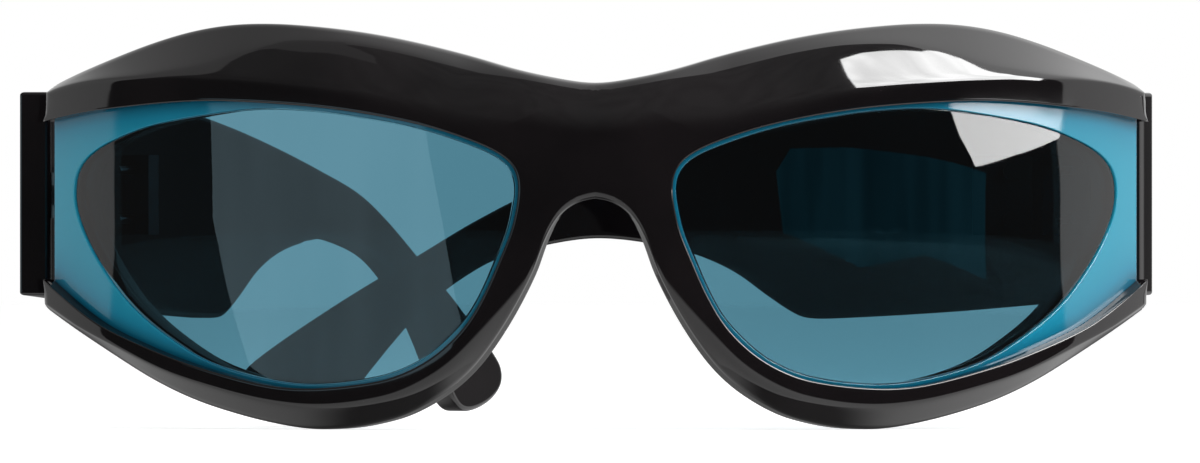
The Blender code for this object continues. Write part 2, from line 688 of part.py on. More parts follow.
def add_temple_leaf(side, word, inner, parts, cutters, axis):
    """The hinge half on the temple: a flat leaf and one middle knuckle on a short arm."""
    low = inner - GAP - LEAF_THICKNESS
    high = inner - GAP
    edges = sorted((side * low, side * high))
    leaf = box(
        "hinge_temple_leaf_" + word,
        (edges[0], -TEMPLE_LEAF_LEAD, HINGE_CENTRE_HEIGHT - LEAF_HEIGHT / 2),
        (edges[1], TEMPLE_LEAF_LENGTH - TEMPLE_LEAF_LEAD, HINGE_CENTRE_HEIGHT + LEAF_HEIGHT / 2),
        parts, axis, HINGE_STEEL,
    )
    half = KNUCKLE_MIDDLE_HEIGHT / 2
    ends = sorted((0, side * (low + LEAF_THICKNESS / 2)))
    arm = box(
        "temple_arm_" + word, (ends[0], -TEMPLE_LEAF_LEAD, HINGE_CENTRE_HEIGHT - half),
        (ends[1], TEMPLE_LEAF_LEAD, HINGE_CENTRE_HEIGHT + half), cutters, axis,
    )
    knuckle = cylinder(
        "temple_knuckle_" + word, BARREL_RADIUS, (0, 0, HINGE_CENTRE_HEIGHT - half),
        (0, 0, HINGE_CENTRE_HEIGHT + half), BORE_SIDES, cutters, axis,
    )
    bore = cylinder(
        "temple_bore_" + word, PIN_RADIUS + FIT, (0, 0, HINGE_CENTRE_HEIGHT - half - OVERRUN),
        (0, 0, HINGE_CENTRE_HEIGHT + half + OVERRUN), BORE_SIDES, cutters, axis,
    )
    boolean(leaf, arm, "UNION")
    boolean(leaf, knuckle, "UNION")
    boolean(leaf, bore)
    return leaf


def add_hinge_screw(word, parts, cutters, axis):
    """The screw that the temple turns on: its head above the top knuckle, its end flush below."""
    head_base = BARREL_TOP + FIT
    made = cylinder(
        "hinge_screw_" + word, PIN_RADIUS, (0, 0, BARREL_BOTTOM), (0, 0, head_base + FIT),
        BORE_SIDES, parts, axis, HINGE_STEEL,
    )
    head = cylinder(
        "hinge_screw_head_" + word, PIN_HEAD_RADIUS, (0, 0, head_base),
        (0, 0, head_base + PIN_HEAD_HEIGHT), BORE_SIDES, cutters, axis,
    )
    boolean(made, head, "UNION")


def stand_on_origin(root, parts):
    """Moves the whole pair so that the middle of its box's underside is at the origin."""
    bpy.context.view_layer.update()
    graph = bpy.context.evaluated_depsgraph_get()
    low, high = np.full(3, np.inf), np.full(3, -np.inf)
    for item in parts.objects:
        if item.type != "MESH":
            continue
        evaluated = item.evaluated_get(graph)
        mesh = evaluated.to_mesh()
        places = np.array([evaluated.matrix_world @ vertex.co for vertex in mesh.vertices])
        evaluated.to_mesh_clear()
        low, high = np.minimum(low, places.min(axis=0)), np.maximum(high, places.max(axis=0))
    middle = (low + high) / 2
    root.location = (-middle[0], -middle[1], -low[2])
    bpy.context.view_layer.update()


def main():
    clear_scene()
    parts = new_collection("wraparound_sunglasses")
    cutters = new_collection("cutters")
    root = bpy.data.objects.new("sunglasses_origin", None)
    parts.objects.link(root)
    make_front(parts, cutters, root)
    for side, word, swing in ((1, "left", LEFT_SWING), (-1, "right", RIGHT_SWING)):
        make_front_leaf(side, word, parts, cutters, root)
        make_temple(side, word, swing, parts, cutters, root)
    stand_on_origin(root, parts)


main()
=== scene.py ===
"""Wraparound sunglasses with blue outer ends and teal lenses: the pieces that show, and the studio.

+X is the wearer's left, +Y runs back from the lenses towards the ears and +Z is up, in metres.
"""

import math

import bmesh
import bpy
import numpy as np
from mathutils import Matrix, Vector


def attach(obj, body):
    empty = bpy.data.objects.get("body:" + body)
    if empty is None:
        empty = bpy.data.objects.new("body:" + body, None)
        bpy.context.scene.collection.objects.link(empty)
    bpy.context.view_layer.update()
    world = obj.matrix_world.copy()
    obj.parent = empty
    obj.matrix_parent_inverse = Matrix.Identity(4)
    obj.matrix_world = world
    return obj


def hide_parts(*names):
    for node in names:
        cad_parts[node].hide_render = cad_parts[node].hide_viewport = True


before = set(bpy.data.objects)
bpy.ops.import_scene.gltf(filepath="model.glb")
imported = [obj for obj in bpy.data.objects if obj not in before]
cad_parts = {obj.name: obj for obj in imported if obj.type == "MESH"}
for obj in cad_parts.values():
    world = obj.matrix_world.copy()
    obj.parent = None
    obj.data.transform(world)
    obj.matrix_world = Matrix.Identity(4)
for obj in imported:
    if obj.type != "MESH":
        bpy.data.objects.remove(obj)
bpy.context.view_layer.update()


# The black front: a plate of polished black acetate, 7 mm thick, bent round the brow in an oven.
# Its brow and its lower rims are cut with facets and its bridge is rounded off, then all is buffed.
# A pocket is milled into its back on each side for the coloured layer, the inner rim and the lens.

MILLIMETRE = 0.001
HALF_WIDTH = 0.0726
FRONT_HEIGHT = 0.0529
WRAP_ANGLE = math.radians(55.6)
WRAP_RADIUS = HALF_WIDTH / math.sin(WRAP_ANGLE)
CROWN_RADIUS = 0.160
FRONT_PLACE = np.array([0.000885, -0.074586, -0.000079])
FRONT_DEPTH = 0.0072
FACE_PLATE = 0.0016
REBATE_WIDTH = 0.0016
LEAST_BACK_WIDTH = 0.0004
CREST_DEPTH = 0.0026
OUTLINE_DEPTH = 0.0048
BRIDGE_DEPTH, BRIDGE_REACH = 0.0034, 0.0072
NOSE_DEPTH, NOSE_REACH = 0.0007, 0.0024
BRIDGE_HALF_WIDTH, BRIDGE_BLEND = 0.018, 0.013
OPENING_EDGE, OUTLINE_EDGE, BACK_EDGE = 0.0003, 0.0005, 0.0005
END_EDGE_SHARE = 0.5
POLE_SHARES = (0.543, 0.478)

# Outlines of the wearer's left half, as shares of half the width and of the height.
TOP_EDGE_SHARES = [
    (0, 0.852), (0.072, 0.865), (0.145, 0.887), (0.217, 0.916), (0.290, 0.942), (0.362, 0.964),
    (0.434, 0.981), (0.507, 0.993), (0.579, 1), (0.652, 0.998), (0.724, 0.983), (0.796, 0.955),
    (0.869, 0.918), (0.941, 0.877), (1, 0.837),
]
BOTTOM_EDGE_SHARES = [
    (1, 0.304), (0.941, 0.247), (0.869, 0.183), (0.796, 0.122), (0.724, 0.075), (0.652, 0.042),
    (0.579, 0.017), (0.507, 0.002), (0.434, 0.006), (0.362, 0.027), (0.326, 0.046), (0.290, 0.073),
    (0.253, 0.108), (0.217, 0.155), (0.181, 0.220), (0.145, 0.299), (0.110, 0.391), (0.097, 0.441),
    (0.079, 0.498), (0.061, 0.533), (0.041, 0.553), (0.023, 0.565), (0, 0.569),
]
FACE_OPENING_SHARES = [
    (1, 0.761), (0.923, 0.783), (0.842, 0.796), (0.769, 0.805), (0.697, 0.809), (0.628, 0.806),
    (0.559, 0.800), (0.489, 0.791), (0.420, 0.778), (0.353, 0.761), (0.284, 0.738), (0.217, 0.707),
    (0.174, 0.680), (0.152, 0.657), (0.140, 0.630), (0.137, 0.595), (0.141, 0.545), (0.152, 0.483),
    (0.173, 0.414), (0.194, 0.347), (0.223, 0.275), (0.255, 0.222), (0.293, 0.178), (0.331, 0.148),
    (0.375, 0.125), (0.434, 0.111), (0.498, 0.103), (0.552, 0.104), (0.603, 0.114), (0.673, 0.138),
    (0.744, 0.168), (0.813, 0.205), (0.878, 0.245), (0.914, 0.275), (0.952, 0.314), (1, 0.369),
]
LENS_OPENING_SHARES = [
    (0.943, 0.592), (0.937, 0.642), (0.912, 0.682), (0.872, 0.714), (0.800, 0.751), (0.688, 0.779),
    (0.590, 0.792), (0.489, 0.784), (0.420, 0.770), (0.353, 0.754), (0.286, 0.730), (0.220, 0.699),
    (0.177, 0.673), (0.157, 0.652), (0.146, 0.627), (0.142, 0.595), (0.147, 0.547), (0.157, 0.486),
    (0.178, 0.416), (0.199, 0.350), (0.227, 0.280), (0.260, 0.229), (0.297, 0.184), (0.334, 0.155),
    (0.377, 0.133), (0.435, 0.118), (0.498, 0.111), (0.560, 0.116), (0.633, 0.137), (0.702, 0.170),
    (0.760, 0.217), (0.813, 0.271), (0.855, 0.329), (0.893, 0.401), (0.922, 0.473), (0.940, 0.541),
]

# Round the lens from the outer end over the brow, down the nose and out along the lower rim: the
# angle, the shares of the rim's width where the front band ends and where the crest lies, the
# shares of CREST_DEPTH and OUTLINE_DEPTH there, and how softly the facets meet, in millimetres.
FACET_SHARES = np.array([
    (24, 0.95, 0.99, 0, 0, 0.15), (30, 0.80, 0.97, 0, 0.25, 0.2), (38, 0.66, 0.74, 0.02, 0.6, 0.25),
    (45, 0.50, 0.57, 0.05, 0.75, 0.3), (61, 0.33, 0.52, 0.35, 1, 0.35),
    (75, 0.28, 0.66, 0.8, 1, 0.4), (90, 0.26, 0.79, 1, 1, 0.5), (106, 0.26, 0.85, 1, 1, 0.7),
    (125, 0.27, 0.86, 0.95, 1, 1.2), (140, 0.30, 0.82, 0.7, 0.9, 2.0),
    (153, 0.32, 0.75, 0.45, 0.75, 3.0), (173, 0.32, 0.75, 0.1, 0.3, 3.0),
    (185, 0.34, 0.75, 0.05, 0.25, 2.0), (200, 0.38, 0.72, 0.08, 0.33, 1.2),
    (220, 0.42, 0.62, 0.10, 0.50, 0.6), (240, 0.42, 0.50, 0.05, 0.60, 0.35),
    (270, 0.40, 0.44, 0.02, 0.62, 0.25), (300, 0.42, 0.46, 0.02, 0.62, 0.2),
    (330, 0.58, 0.62, 0, 0.42, 0.2), (344, 0.92, 0.96, 0, 0.06, 0.15), (352, 0.95, 0.99, 0, 0, 0.15),
]).T


def flowing_line(shares, closed=False, mirrored=False, count=1400, ease=0.0011):
    """A line through given points. Each span is the Catmull-Rom cubic of its
    four nearest points. The line is spaced evenly along its length, and then averaged with a bell
    curve whose width is `ease`, so that its bends change slowly and polished edges look clean. A
    mirrored line goes on across the middle plane as its own image, and any other end straight."""
    points = np.asarray(shares, float) * (HALF_WIDTH, FRONT_HEIGHT)

    def onward(line, reach):
        steps = line[1:1 + reach][::-1]
        return steps * (-1, 1) if mirrored and line[0, 0] == 0 else 2 * line[0] - steps

    if closed:
        points = np.vstack([points[-1:], points, points[:2]])
    else:
        points = np.vstack([onward(points, 1), points, onward(points[::-1], 1)])
    step = np.linspace(0, 1, 24, endpoint=False)[:, None, None]
    a, b, c, d = points[:-3], points[1:-2], points[2:-1], points[3:]
    cubic = (3 * b - 3 * c + d - a) * step**3 + (2 * a - 5 * b + 4 * c - d) * step**2
    line = ((cubic + (c - a) * step) / 2 + b).transpose(1, 0, 2).reshape(-1, 2)
    line = np.vstack([line, points[-2:-1]])
    along = np.append(0, np.cumsum(np.hypot(*np.diff(line, axis=0).T)))
    even = np.linspace(0, along[-1], count)
    line = np.column_stack([np.interp(even, along, line[:, axis]) for axis in (0, 1)])
    reach = int(3 * ease / (even[1] - even[0]))
    bell = np.exp(-0.5 * (np.arange(-reach, reach + 1) * (even[1] - even[0]) / ease) ** 2)
    if closed:
        padded = np.vstack([line[-1 - reach:-1], line, line[1:1 + reach]])
    else:
        padded = np.vstack([onward(line, reach), line, onward(line[::-1], reach)[::-1]])
    return np.column_stack([
        np.convolve(padded[:, axis], bell / bell.sum(), mode="valid") for axis in (0, 1)
    ])


def widening(depth):
    """How much wider a flat point is set when it lies deeper, so that it shows from the front
    where the outlines have it: the wrap radius over the radius that is left at its depth."""
    return WRAP_RADIUS / (WRAP_RADIUS - depth)


LENS_EDGE_DEPTH = 0.0017

top_edge = flowing_line(TOP_EDGE_SHARES, mirrored=True)
bottom_edge = flowing_line(BOTTOM_EDGE_SHARES)
face_opening = flowing_line(FACE_OPENING_SHARES)
lens_edge = flowing_line(LENS_OPENING_SHARES, closed=True)
lens_edge[:, 0] *= widening(LENS_EDGE_DEPTH)
pole = np.array(POLE_SHARES) * (HALF_WIDTH, FRONT_HEIGHT)


def straight_line(start, end, count=200):
    """Points evenly spaced from one flat point to another."""
    step = np.linspace(0, 1, count)[:, None]
    return np.asarray(start) * (1 - step) + np.asarray(end) * step


outer_end = straight_line(top_edge[-1], bottom_edge[0])
middle_line = straight_line(bottom_edge[-1], top_edge[0])
half_outline = np.vstack([top_edge, outer_end, bottom_edge, middle_line])


def angle_of(points):
    """Angles of flat points about the pole inside the lens, from 0 to a full turn."""
    offset = np.atleast_2d(points) - pole
    return np.arctan2(offset[:, 1], offset[:, 0]) % (2 * np.pi)


def reach_of(line, angles):
    """How far a line lies from the pole at each angle, read between the line's own points."""
    offset = line - pole
    return np.interp(angles, angle_of(line), np.hypot(*offset.T), period=2 * np.pi)


def rim_stations(count, corners):
    """Angles about the pole, evenly spaced along the lens's edge. The corners replace the angles
    that lie within a tenth of a degree of them."""
    along = np.append(0, np.cumsum(np.hypot(*np.diff(lens_edge, axis=0).T)))
    even = np.linspace(0, along[-1], count, endpoint=False)
    places = np.column_stack([np.interp(even, along, lens_edge[:, axis]) for axis in (0, 1)])
    angles = angle_of(places)
    near = np.abs(angles[:, None] - corners[None, :]).min(axis=1) < math.radians(0.1)
    return np.sort(np.concatenate([angles[~near], corners]))


def flat_grid(distance, angles):
    """Flat points at distances from the pole, given as rows, along the angles, given as columns."""
    outward = np.stack([np.cos(angles), np.sin(angles)], axis=-1)
    return pole + distance[..., None] * outward


def wrap_round(flat, depth, side=1):
    """Bends flat points round the head. A point x, z at a depth goes to the angle whose sine is
    x over the wrap radius, on the radius less the depth. The crown adds a parabola in z, which
    fades with the fourth power of x towards the upright outer ends."""
    turn = np.arcsin(np.clip(flat[..., 0] / WRAP_RADIUS, -1, 1))
    radius = WRAP_RADIUS - depth
    fade = 1 - (flat[..., 0] / HALF_WIDTH) ** 4
    crown = fade * (flat[..., 1] - FRONT_HEIGHT / 2) ** 2 / (2 * CROWN_RADIUS)
    bent = np.stack([
        side * radius * np.sin(turn), WRAP_RADIUS - radius * np.cos(turn) + crown, flat[..., 1],
    ], axis=-1)
    return bent + FRONT_PLACE


def clearance(flat, line, skip=4, batch=4000):
    """The distance from each flat point to the nearest place on a line: the nearest of every
    fourth point of the line is found first, and then the nearest place on the spans beside it."""
    spots = flat.reshape(-1, 2)
    nearest = skip * np.concatenate([
        np.argmin(((some[:, None, :] - line[None, ::skip, :]) ** 2).sum(-1), axis=1)
        for some in np.array_split(spots, max(1, len(spots) // batch))
    ])
    best = np.full(len(spots), np.inf)
    for shift in range(-skip, skip):
        start = np.clip(nearest + shift, 0, len(line) - 2)
        a, b = line[start], line[start + 1]
        run = b - a
        share = np.clip(((spots - a) * run).sum(-1) / np.maximum((run**2).sum(-1), 1e-18), 0, 1)
        best = np.minimum(best, np.hypot(*(spots - a - share[:, None] * run).T))
    return best.reshape(flat.shape[:-1])


def grid_faces(rows, columns, around_rows=False, around_columns=False):
    """Four-cornered faces between neighbouring rows and columns of a grid of points."""
    row = np.arange(rows if around_rows else rows - 1)[:, None]
    column = np.arange(columns if around_columns else columns - 1)[None, :]
    next_row, next_column = (row + 1) % rows, (column + 1) % columns
    corners = [(row, column), (row, next_column), (next_row, next_column), (next_row, column)]
    return np.stack([
        np.broadcast_to(r * columns + c, (len(row), column.shape[1])) for r, c in corners
    ], axis=-1).reshape(-1, 4)


MERGE_DISTANCE = 4e-7


def new_piece(name, points, faces, material, body, node, crease=50, marks=None):
    """A closed mesh from arrays of points and faces, in place of a node of the CAD model. Doubled
    points are merged, faces without area go, and the rest are turned outwards. marks are values
    that are kept at the points, by name."""
    mesh = bpy.data.meshes.new(name)
    mesh.from_pydata(points.reshape(-1, 3).tolist(), [], [list(face) for face in faces])
    for mark, values in (marks or {}).items():
        layer = mesh.attributes.new(mark, "FLOAT", "POINT")
        layer.data.foreach_set("value", np.asarray(values, np.float32).reshape(-1))
    shape = bmesh.new()
    shape.from_mesh(mesh)
    bmesh.ops.remove_doubles(shape, verts=shape.verts, dist=MERGE_DISTANCE)
    bmesh.ops.dissolve_degenerate(shape, edges=shape.edges, dist=MERGE_DISTANCE)
    loose = [vertex for vertex in shape.verts if not vertex.link_faces]
    bmesh.ops.delete(shape, geom=loose, context="VERTS")
    bmesh.ops.recalc_face_normals(shape, faces=shape.faces)
    shape.to_mesh(mesh)
    shape.free()
    mesh.shade_smooth()
    mesh.set_sharp_from_angle(angle=math.radians(crease))
    mesh.materials.append(material)
    made = bpy.data.objects.new(name, mesh)
    bpy.context.scene.collection.objects.link(made)
    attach(made, body)
    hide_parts(node)


def ramp(value, softness):
    """Nothing below zero and the value above it, with the corner rounded by a hyperbola."""
    return (value + np.sqrt(value**2 + softness**2)) / 2


def rounding(distance, radius):
    """How deep a rounded edge lies at a distance from the edge: a quarter circle's fall."""
    inside = np.clip(radius - distance, 0, radius)
    return radius - np.sqrt(np.maximum(radius**2 - inside**2, 0))


def quarter_fall(distance, reach, depth):
    """A quarter ellipse: full depth at the edge, and none from the reach inwards."""
    share = np.clip(1 - distance / reach, 0, 1)
    return depth * (1 - np.sqrt(np.maximum(1 - share**2, 0)))


def eased(value):
    """The value held between 0 and 1, with level ends: three times its square less twice its
    cube."""
    share = np.clip(value, 0, 1)
    return share**2 * (3 - 2 * share)


def facet_tables(angles, reach=40, width=13):
    """The facet shares at each angle. The table is read at every quarter of a degree, and then
    averaged with a bell curve that is 3.25 degrees wide."""
    even = np.radians(np.linspace(0, 360, 1441))
    bell = np.exp(-0.5 * (np.arange(-reach, reach + 1) / width) ** 2)
    tables = []
    for column in FACET_SHARES[1:]:
        dense = np.interp(even, np.radians(FACET_SHARES[0]), column)
        dense = np.convolve(np.pad(dense, reach, mode="edge"), bell / bell.sum(), mode="valid")
        tables.append(np.interp(angles, even, dense))
    return tables


class Field:
    """A socket in a material. Arithmetic on fields adds Math nodes, node() adds any other, and
    out() gives another output of the same node."""

    def __init__(self, tree, socket=None):
        self.tree, self.socket = tree, socket

    def node(self, kind, settings=None, sockets=None):
        made = self.tree.nodes.new("ShaderNode" + kind)
        for name, value in (settings or {}).items():
            if name == "stops":
                while len(made.color_ramp.elements) < len(value):
                    made.color_ramp.elements.new(0.5)
                for stop, (place, colour) in zip(made.color_ramp.elements, value):
                    stop.position, stop.color = place, (*colour, 1)
            else:
                setattr(made, name, value)
        for name, value in (sockets or {}).items():
            if isinstance(value, Field):
                self.tree.links.new(value.socket, made.inputs[name])
            else:
                made.inputs[name].default_value = value
        return Field(self.tree, made.outputs[0])

    def out(self, name):
        return Field(self.tree, self.socket.node.outputs[name])

    def maths(self, operation, *others):
        return self.node("Math", {"operation": operation}, dict(enumerate((self, *others))))

    def __add__(self, other):
        return self.maths("ADD", other)

    def __sub__(self, other):
        return self.maths("SUBTRACT", other)

    def __rsub__(self, other):
        return self.node("Math", {"operation": "SUBTRACT"}, {0: other, 1: self})

    def __mul__(self, other):
        return self.maths("MULTIPLY", other)

    __radd__, __rmul__ = __add__, __mul__

    def noise(self, place, scale, detail):
        return self.node("TexNoise", {}, {"Vector": place, "Scale": scale, "Detail": detail})

    def between(self, low, high, to_low=0.0):
        """Rises smoothly from to_low to one between two values."""
        return self.node("MapRange", {"interpolation_type": "SMOOTHSTEP"}, {
            "Value": self, "From Min": low, "From Max": high, "To Min": to_low,
        })

    def blend(self, first, second):
        """A colour between two. Inputs 0, 6 and 7 are the factor and the colours."""
        return self.node("Mix", {"data_type": "RGBA"}, {0: self, 6: first, 7: second}).out(2)

    def base(self):
        """The material's own shader."""
        return Field(self.tree, self.tree.nodes["Principled BSDF"].outputs[0])

    def show(self):
        """Puts this shader on the material's surface."""
        self.tree.links.new(self.socket, self.tree.nodes["Material Output"].inputs["Surface"])


def new_finish(name, constants, varying):
    """A material. The constants go on the shader's own sockets, and varying(start) gives the
    fields that change over the surface."""
    made = bpy.data.materials.new(name)
    made.use_nodes = True
    tree = made.node_tree
    shader = tree.nodes["Principled BSDF"]
    for socket, value in constants.items():
        shader.inputs[socket].default_value = value
    for socket, field in varying(Field(tree)).items():
        tree.links.new(field.socket, shader.inputs[socket])
    return made


def acetate_look(start):
    """Polished black: two tones drift into each other like the cloud in the sheet it was cut
    from, the buffing leaves a faint haze in patches, and the surface is very slightly wavy."""
    place = start.node("TexCoord").out("Object")
    cloud = start.noise(place, 42, 5).between(0.35, 0.7)
    buffing = start.noise(place, 95, 6)
    waves = start.noise(place, 160, 2)
    grain = start.noise(place, 2600, 2)
    bump = start.node("Bump", {}, {
        "Strength": 0.10, "Distance": 0.00004, "Height": waves + 0.02 * grain,
    })
    return {
        "Base Color": cloud.blend((0.0045, 0.0035, 0.0042, 1), (0.010, 0.0075, 0.0085, 1)),
        "Roughness": 0.022 + 0.0352 * buffing,
        "Normal": bump,
    }


black_acetate = new_finish("black_acetate", {"IOR": 1.49, "Specular IOR Level": 0.5}, acetate_look)

# The front is one closed skin about the pole: across the face from the opening to the outline,
# round to the back, in to the pocket and back to the opening. Extra stations lie at the corners of
# the outlines, down the rounded edges on the middle plane, and round the top of the nose.
FRONT_STATIONS = 430
EDGE_SHARES = np.array([0.08, 0.3, 0.6, 1, 1.8])
NOSE_TOP_HALF_WIDTH = 0.006
opening_ends = angle_of(face_opening[[0, -1]])
stations_front = rim_stations(FRONT_STATIONS, np.concatenate([
    angle_of([top_edge[0], top_edge[-1], bottom_edge[0], bottom_edge[-1]]),
    opening_ends,
    angle_of([(0, top_edge[0, 1] - OUTLINE_EDGE * share) for share in EDGE_SHARES]),
    angle_of([(0, bottom_edge[-1, 1] + OUTLINE_EDGE * share) for share in EDGE_SHARES]),
    angle_of(bottom_edge[bottom_edge[:, 0] < NOSE_TOP_HALF_WIDTH][::2]),
]))
stations_front = stations_front[
    (stations_front >= opening_ends[0]) & (stations_front <= opening_ends[1])
]
opening_reach = reach_of(face_opening, stations_front)
outline_reach = reach_of(half_outline, stations_front)
opening_reach[[0, -1]] = outline_reach[[0, -1]]
rim_width = outline_reach - opening_reach
band, crest, crest_depth, outline_depth, softness = facet_tables(stations_front)

# The facets meet clear of the rounded edges, and the band ends before the crest. Where the rim
# is narrow, the facets meet more sharply.
EDGE_ROOM = 1.1
BAND_LIMIT = 0.96
NARROW_RIM = 0.004
edge_in = np.minimum(OPENING_EDGE, rim_width / 4)
edge_out = np.minimum(OUTLINE_EDGE, rim_width / 4)
crest_at = np.minimum(crest * rim_width, rim_width - EDGE_ROOM * edge_out)
least_band = EDGE_ROOM * edge_in
band_at = np.clip(band * rim_width, least_band, np.maximum(crest_at * BAND_LIMIT, least_band))
arc = 1 - np.cos(np.linspace(0, np.pi / 2, 6))[:, None]
eased_steps = (1 - np.cos(np.linspace(0, np.pi, 10)[1:-1, None])) / 2
across = np.vstack([
    edge_in * arc,
    edge_in + (band_at - edge_in) * eased_steps, band_at[None],
    band_at + (crest_at - band_at) * eased_steps, crest_at[None],
    crest_at + (rim_width - edge_out - crest_at) * eased_steps,
    rim_width - edge_out * arc[::-1],
])
front_flat = flat_grid(opening_reach + across, stations_front)
soft = softness * MILLIMETRE * np.minimum(1, rim_width / NARROW_RIM)
rise_first = crest_depth * CREST_DEPTH / np.maximum(crest_at - band_at, 0.01 * MILLIMETRE)
rise_second = (outline_depth * OUTLINE_DEPTH - crest_depth * CREST_DEPTH) / np.maximum(
    rim_width - crest_at, 0.3 * MILLIMETRE
)
facets = rise_first * ramp(across - band_at, soft)
facets = facets + (rise_second - rise_first) * ramp(across - crest_at, soft)
facets = facets - facets[:1]

whole_top = np.vstack([top_edge[::-1], top_edge[1:] * (-1, 1)])
whole_bottom = np.vstack([bottom_edge, bottom_edge[::-1][1:] * (-1, 1)])
from_top = clearance(front_flat, whole_top)
from_bottom = clearance(front_flat, whole_bottom)
from_end = clearance(front_flat, outer_end)
bridge = quarter_fall(from_top, BRIDGE_REACH, BRIDGE_DEPTH)
bridge = bridge + quarter_fall(from_bottom, NOSE_REACH, NOSE_DEPTH)
near_middle = eased((BRIDGE_HALF_WIDTH - front_flat[..., 0]) / BRIDGE_BLEND)
front_depth = facets * (1 - near_middle) + bridge * near_middle
front_depth = front_depth + rounding(across, edge_in) + np.maximum(
    rounding(np.minimum(from_top, from_bottom), edge_out),
    rounding(from_end, edge_out * END_EDGE_SHARE),
)

# The back's rounded edge gets a little more than its radius in rows. Where the rim is too narrow
# for a back, the plate alone goes on.
BACK_ROOM = 1.3
has_back = rim_width > REBATE_WIDTH + LEAST_BACK_WIDTH
back_depth = np.where(has_back, FRONT_DEPTH, FACE_PLATE)
back_edge = np.where(has_back, np.minimum(BACK_EDGE, rim_width / 4), 0)
back_start = rim_width - BACK_ROOM * back_edge
pocket_at = np.where(has_back, REBATE_WIDTH, rim_width)
steps = np.linspace(0, 1, 5)[1:, None]
across_back = np.vstack([
    rim_width - BACK_ROOM * back_edge * (1 - np.cos(np.linspace(0, np.pi / 2, 8)))[:, None],
    back_start + (pocket_at - back_start) * steps,
])
back_flat = flat_grid(opening_reach + across_back, stations_front)
from_outline = np.minimum(clearance(back_flat, whole_top), clearance(back_flat, whole_bottom))
from_outline = np.minimum(from_outline, clearance(back_flat, outer_end))
depth_back = back_depth - rounding(from_outline, back_edge)
outer_depth = np.minimum(front_depth[-1], depth_back[0])
all_across = np.vstack([
    across, rim_width + 0 * steps[:-1], across_back, pocket_at + 0 * steps, pocket_at * (1 - steps),
    0 * rim_width + 0 * steps[:-1],
])
all_depth = np.vstack([
    front_depth, outer_depth + (depth_back[0] - outer_depth) * steps[:-1], depth_back,
    back_depth + (FACE_PLATE - back_depth) * steps, FACE_PLATE + 0 * rim_width * steps,
    FACE_PLATE + (front_depth[0] - FACE_PLATE) * steps[:-1],
])

half_flat = flat_grid(opening_reach + all_across, stations_front)
half_flat[np.abs(half_flat[..., 0]) < MERGE_DISTANCE / 2, 0] = 0
seen_wider = np.vstack([
    widening(front_depth),
    1 + (widening(front_depth[-1]) - 1) * all_across[len(across):] / np.maximum(rim_width, 1e-9),
])
half_flat[..., 0] = np.minimum(half_flat[..., 0] * seen_wider, HALF_WIDTH)
half_points = wrap_round(half_flat, all_depth).reshape(-1, 3)
half_faces = grid_faces(*all_depth.shape, around_rows=True)
on_middle = (half_flat[..., 0] == 0).reshape(-1)
half_faces = half_faces[~on_middle[half_faces].all(axis=1)]
other_half = half_points.copy()
other_half[:, 0] = 2 * FRONT_PLACE[0] - other_half[:, 0]
new_piece(
    "front", np.vstack([half_points, other_half]),
    np.vstack([half_faces, half_faces[:, ::-1] + len(half_points)]),
    black_acetate, "front", "front_frame", crease=60,
)


# The blue layers: a sheet of translucent blue acetate behind the black plate on each side. Each
# shows as a broad blue end, where the black is cut away, and as a hair-thin line round the lens.
# The sheet is cut to a teardrop opening for the lens, and it was glued in before the bending.

BLUE_FRONT, BLUE_BACK = 0.00168, 0.00432
BLUE_LENS_EDGE, BLUE_OUTER_EDGE = 0.0001, 0.0002
BLUE_LEVEL_START, BLUE_LEVEL_END = 0.00015, 0.0003
LAYER_GAP = 0.0001
LENS_LIP = 0.0011
LENS_SEAT = 0.0029
SHADE_REACH = 0.0022
LAYER_STATIONS = 520
SIDES = (("left", 1), ("right", -1))

stations = rim_stations(LAYER_STATIONS, angle_of([
    top_edge[-1], bottom_edge[0], face_opening[0], face_opening[-1],
]))
lens_reach = reach_of(lens_edge, stations)
layer_reach = np.minimum(
    reach_of(face_opening, stations) + REBATE_WIDTH - LAYER_GAP, reach_of(half_outline, stations)
)


def turned_rows(rows, side, closed=True):
    """A skin about the pole from its section. Each row is a distance from the pole, for every
    station, and a depth, and in a closed section the last row joins the first. Gives the points,
    the faces and the flat points."""
    distance, depth = (
        np.vstack([np.broadcast_to(row[part], stations.shape) for row in rows]) for part in (0, 1)
    )
    flat = flat_grid(distance, stations)
    faces = grid_faces(*depth.shape, around_rows=closed, around_columns=True)
    return wrap_round(flat, depth, side), faces, flat


def spread(start, end, depth, count):
    """Rows from one distance to another at a depth, without the first."""
    return [(start + (end - start) * share, depth) for share in np.linspace(0, 1, count + 1)[1:]]


def rounded_corner(distance, depth, radius, inward, forward):
    """A quarter circle in a section, from the side wall to the face. inward is +1 where the wall
    faces the lens, and forward is +1 where the face is the front one."""
    return [(
        distance + inward * radius * (1 - math.cos(t)), depth + forward * radius * (1 - math.sin(t)),
    ) for t in np.linspace(0, np.pi / 2, 5)]


def blue_look(start):
    """Blue acetate with a soft cloud and painted shade: paler where it stands free, and a deeper
    blue beside the black's edges, as if the black shaded it.
    """
    place = start.node("TexCoord").out("Object")
    near_black = start.node("Attribute", {"attribute_name": "near_black"}).out("Fac")
    cloud = start.noise(place, 55, 4)
    fine = start.noise(place, 420, 3)
    tone = near_black + 0.10 * cloud - 0.05
    # The deep end of this ramp is painted shade, which darkens the blue towards the black's edges.
    colour = start.node("ValToRGB", {"stops": [
        (0, (0.028, 0.440, 0.630)), (0.45, (0.014, 0.340, 0.535)), (1, (0.002, 0.145, 0.255)),
    ]}, {"Fac": tone})
    bump = start.node("Bump", {}, {"Strength": 0.05, "Distance": 0.00003, "Height": fine})
    return {"Base Color": colour, "Roughness": 0.05 + 0.03 * fine, "Normal": bump}


blue_acetate = new_finish("blue_acetate", {"IOR": 1.49}, blue_look)

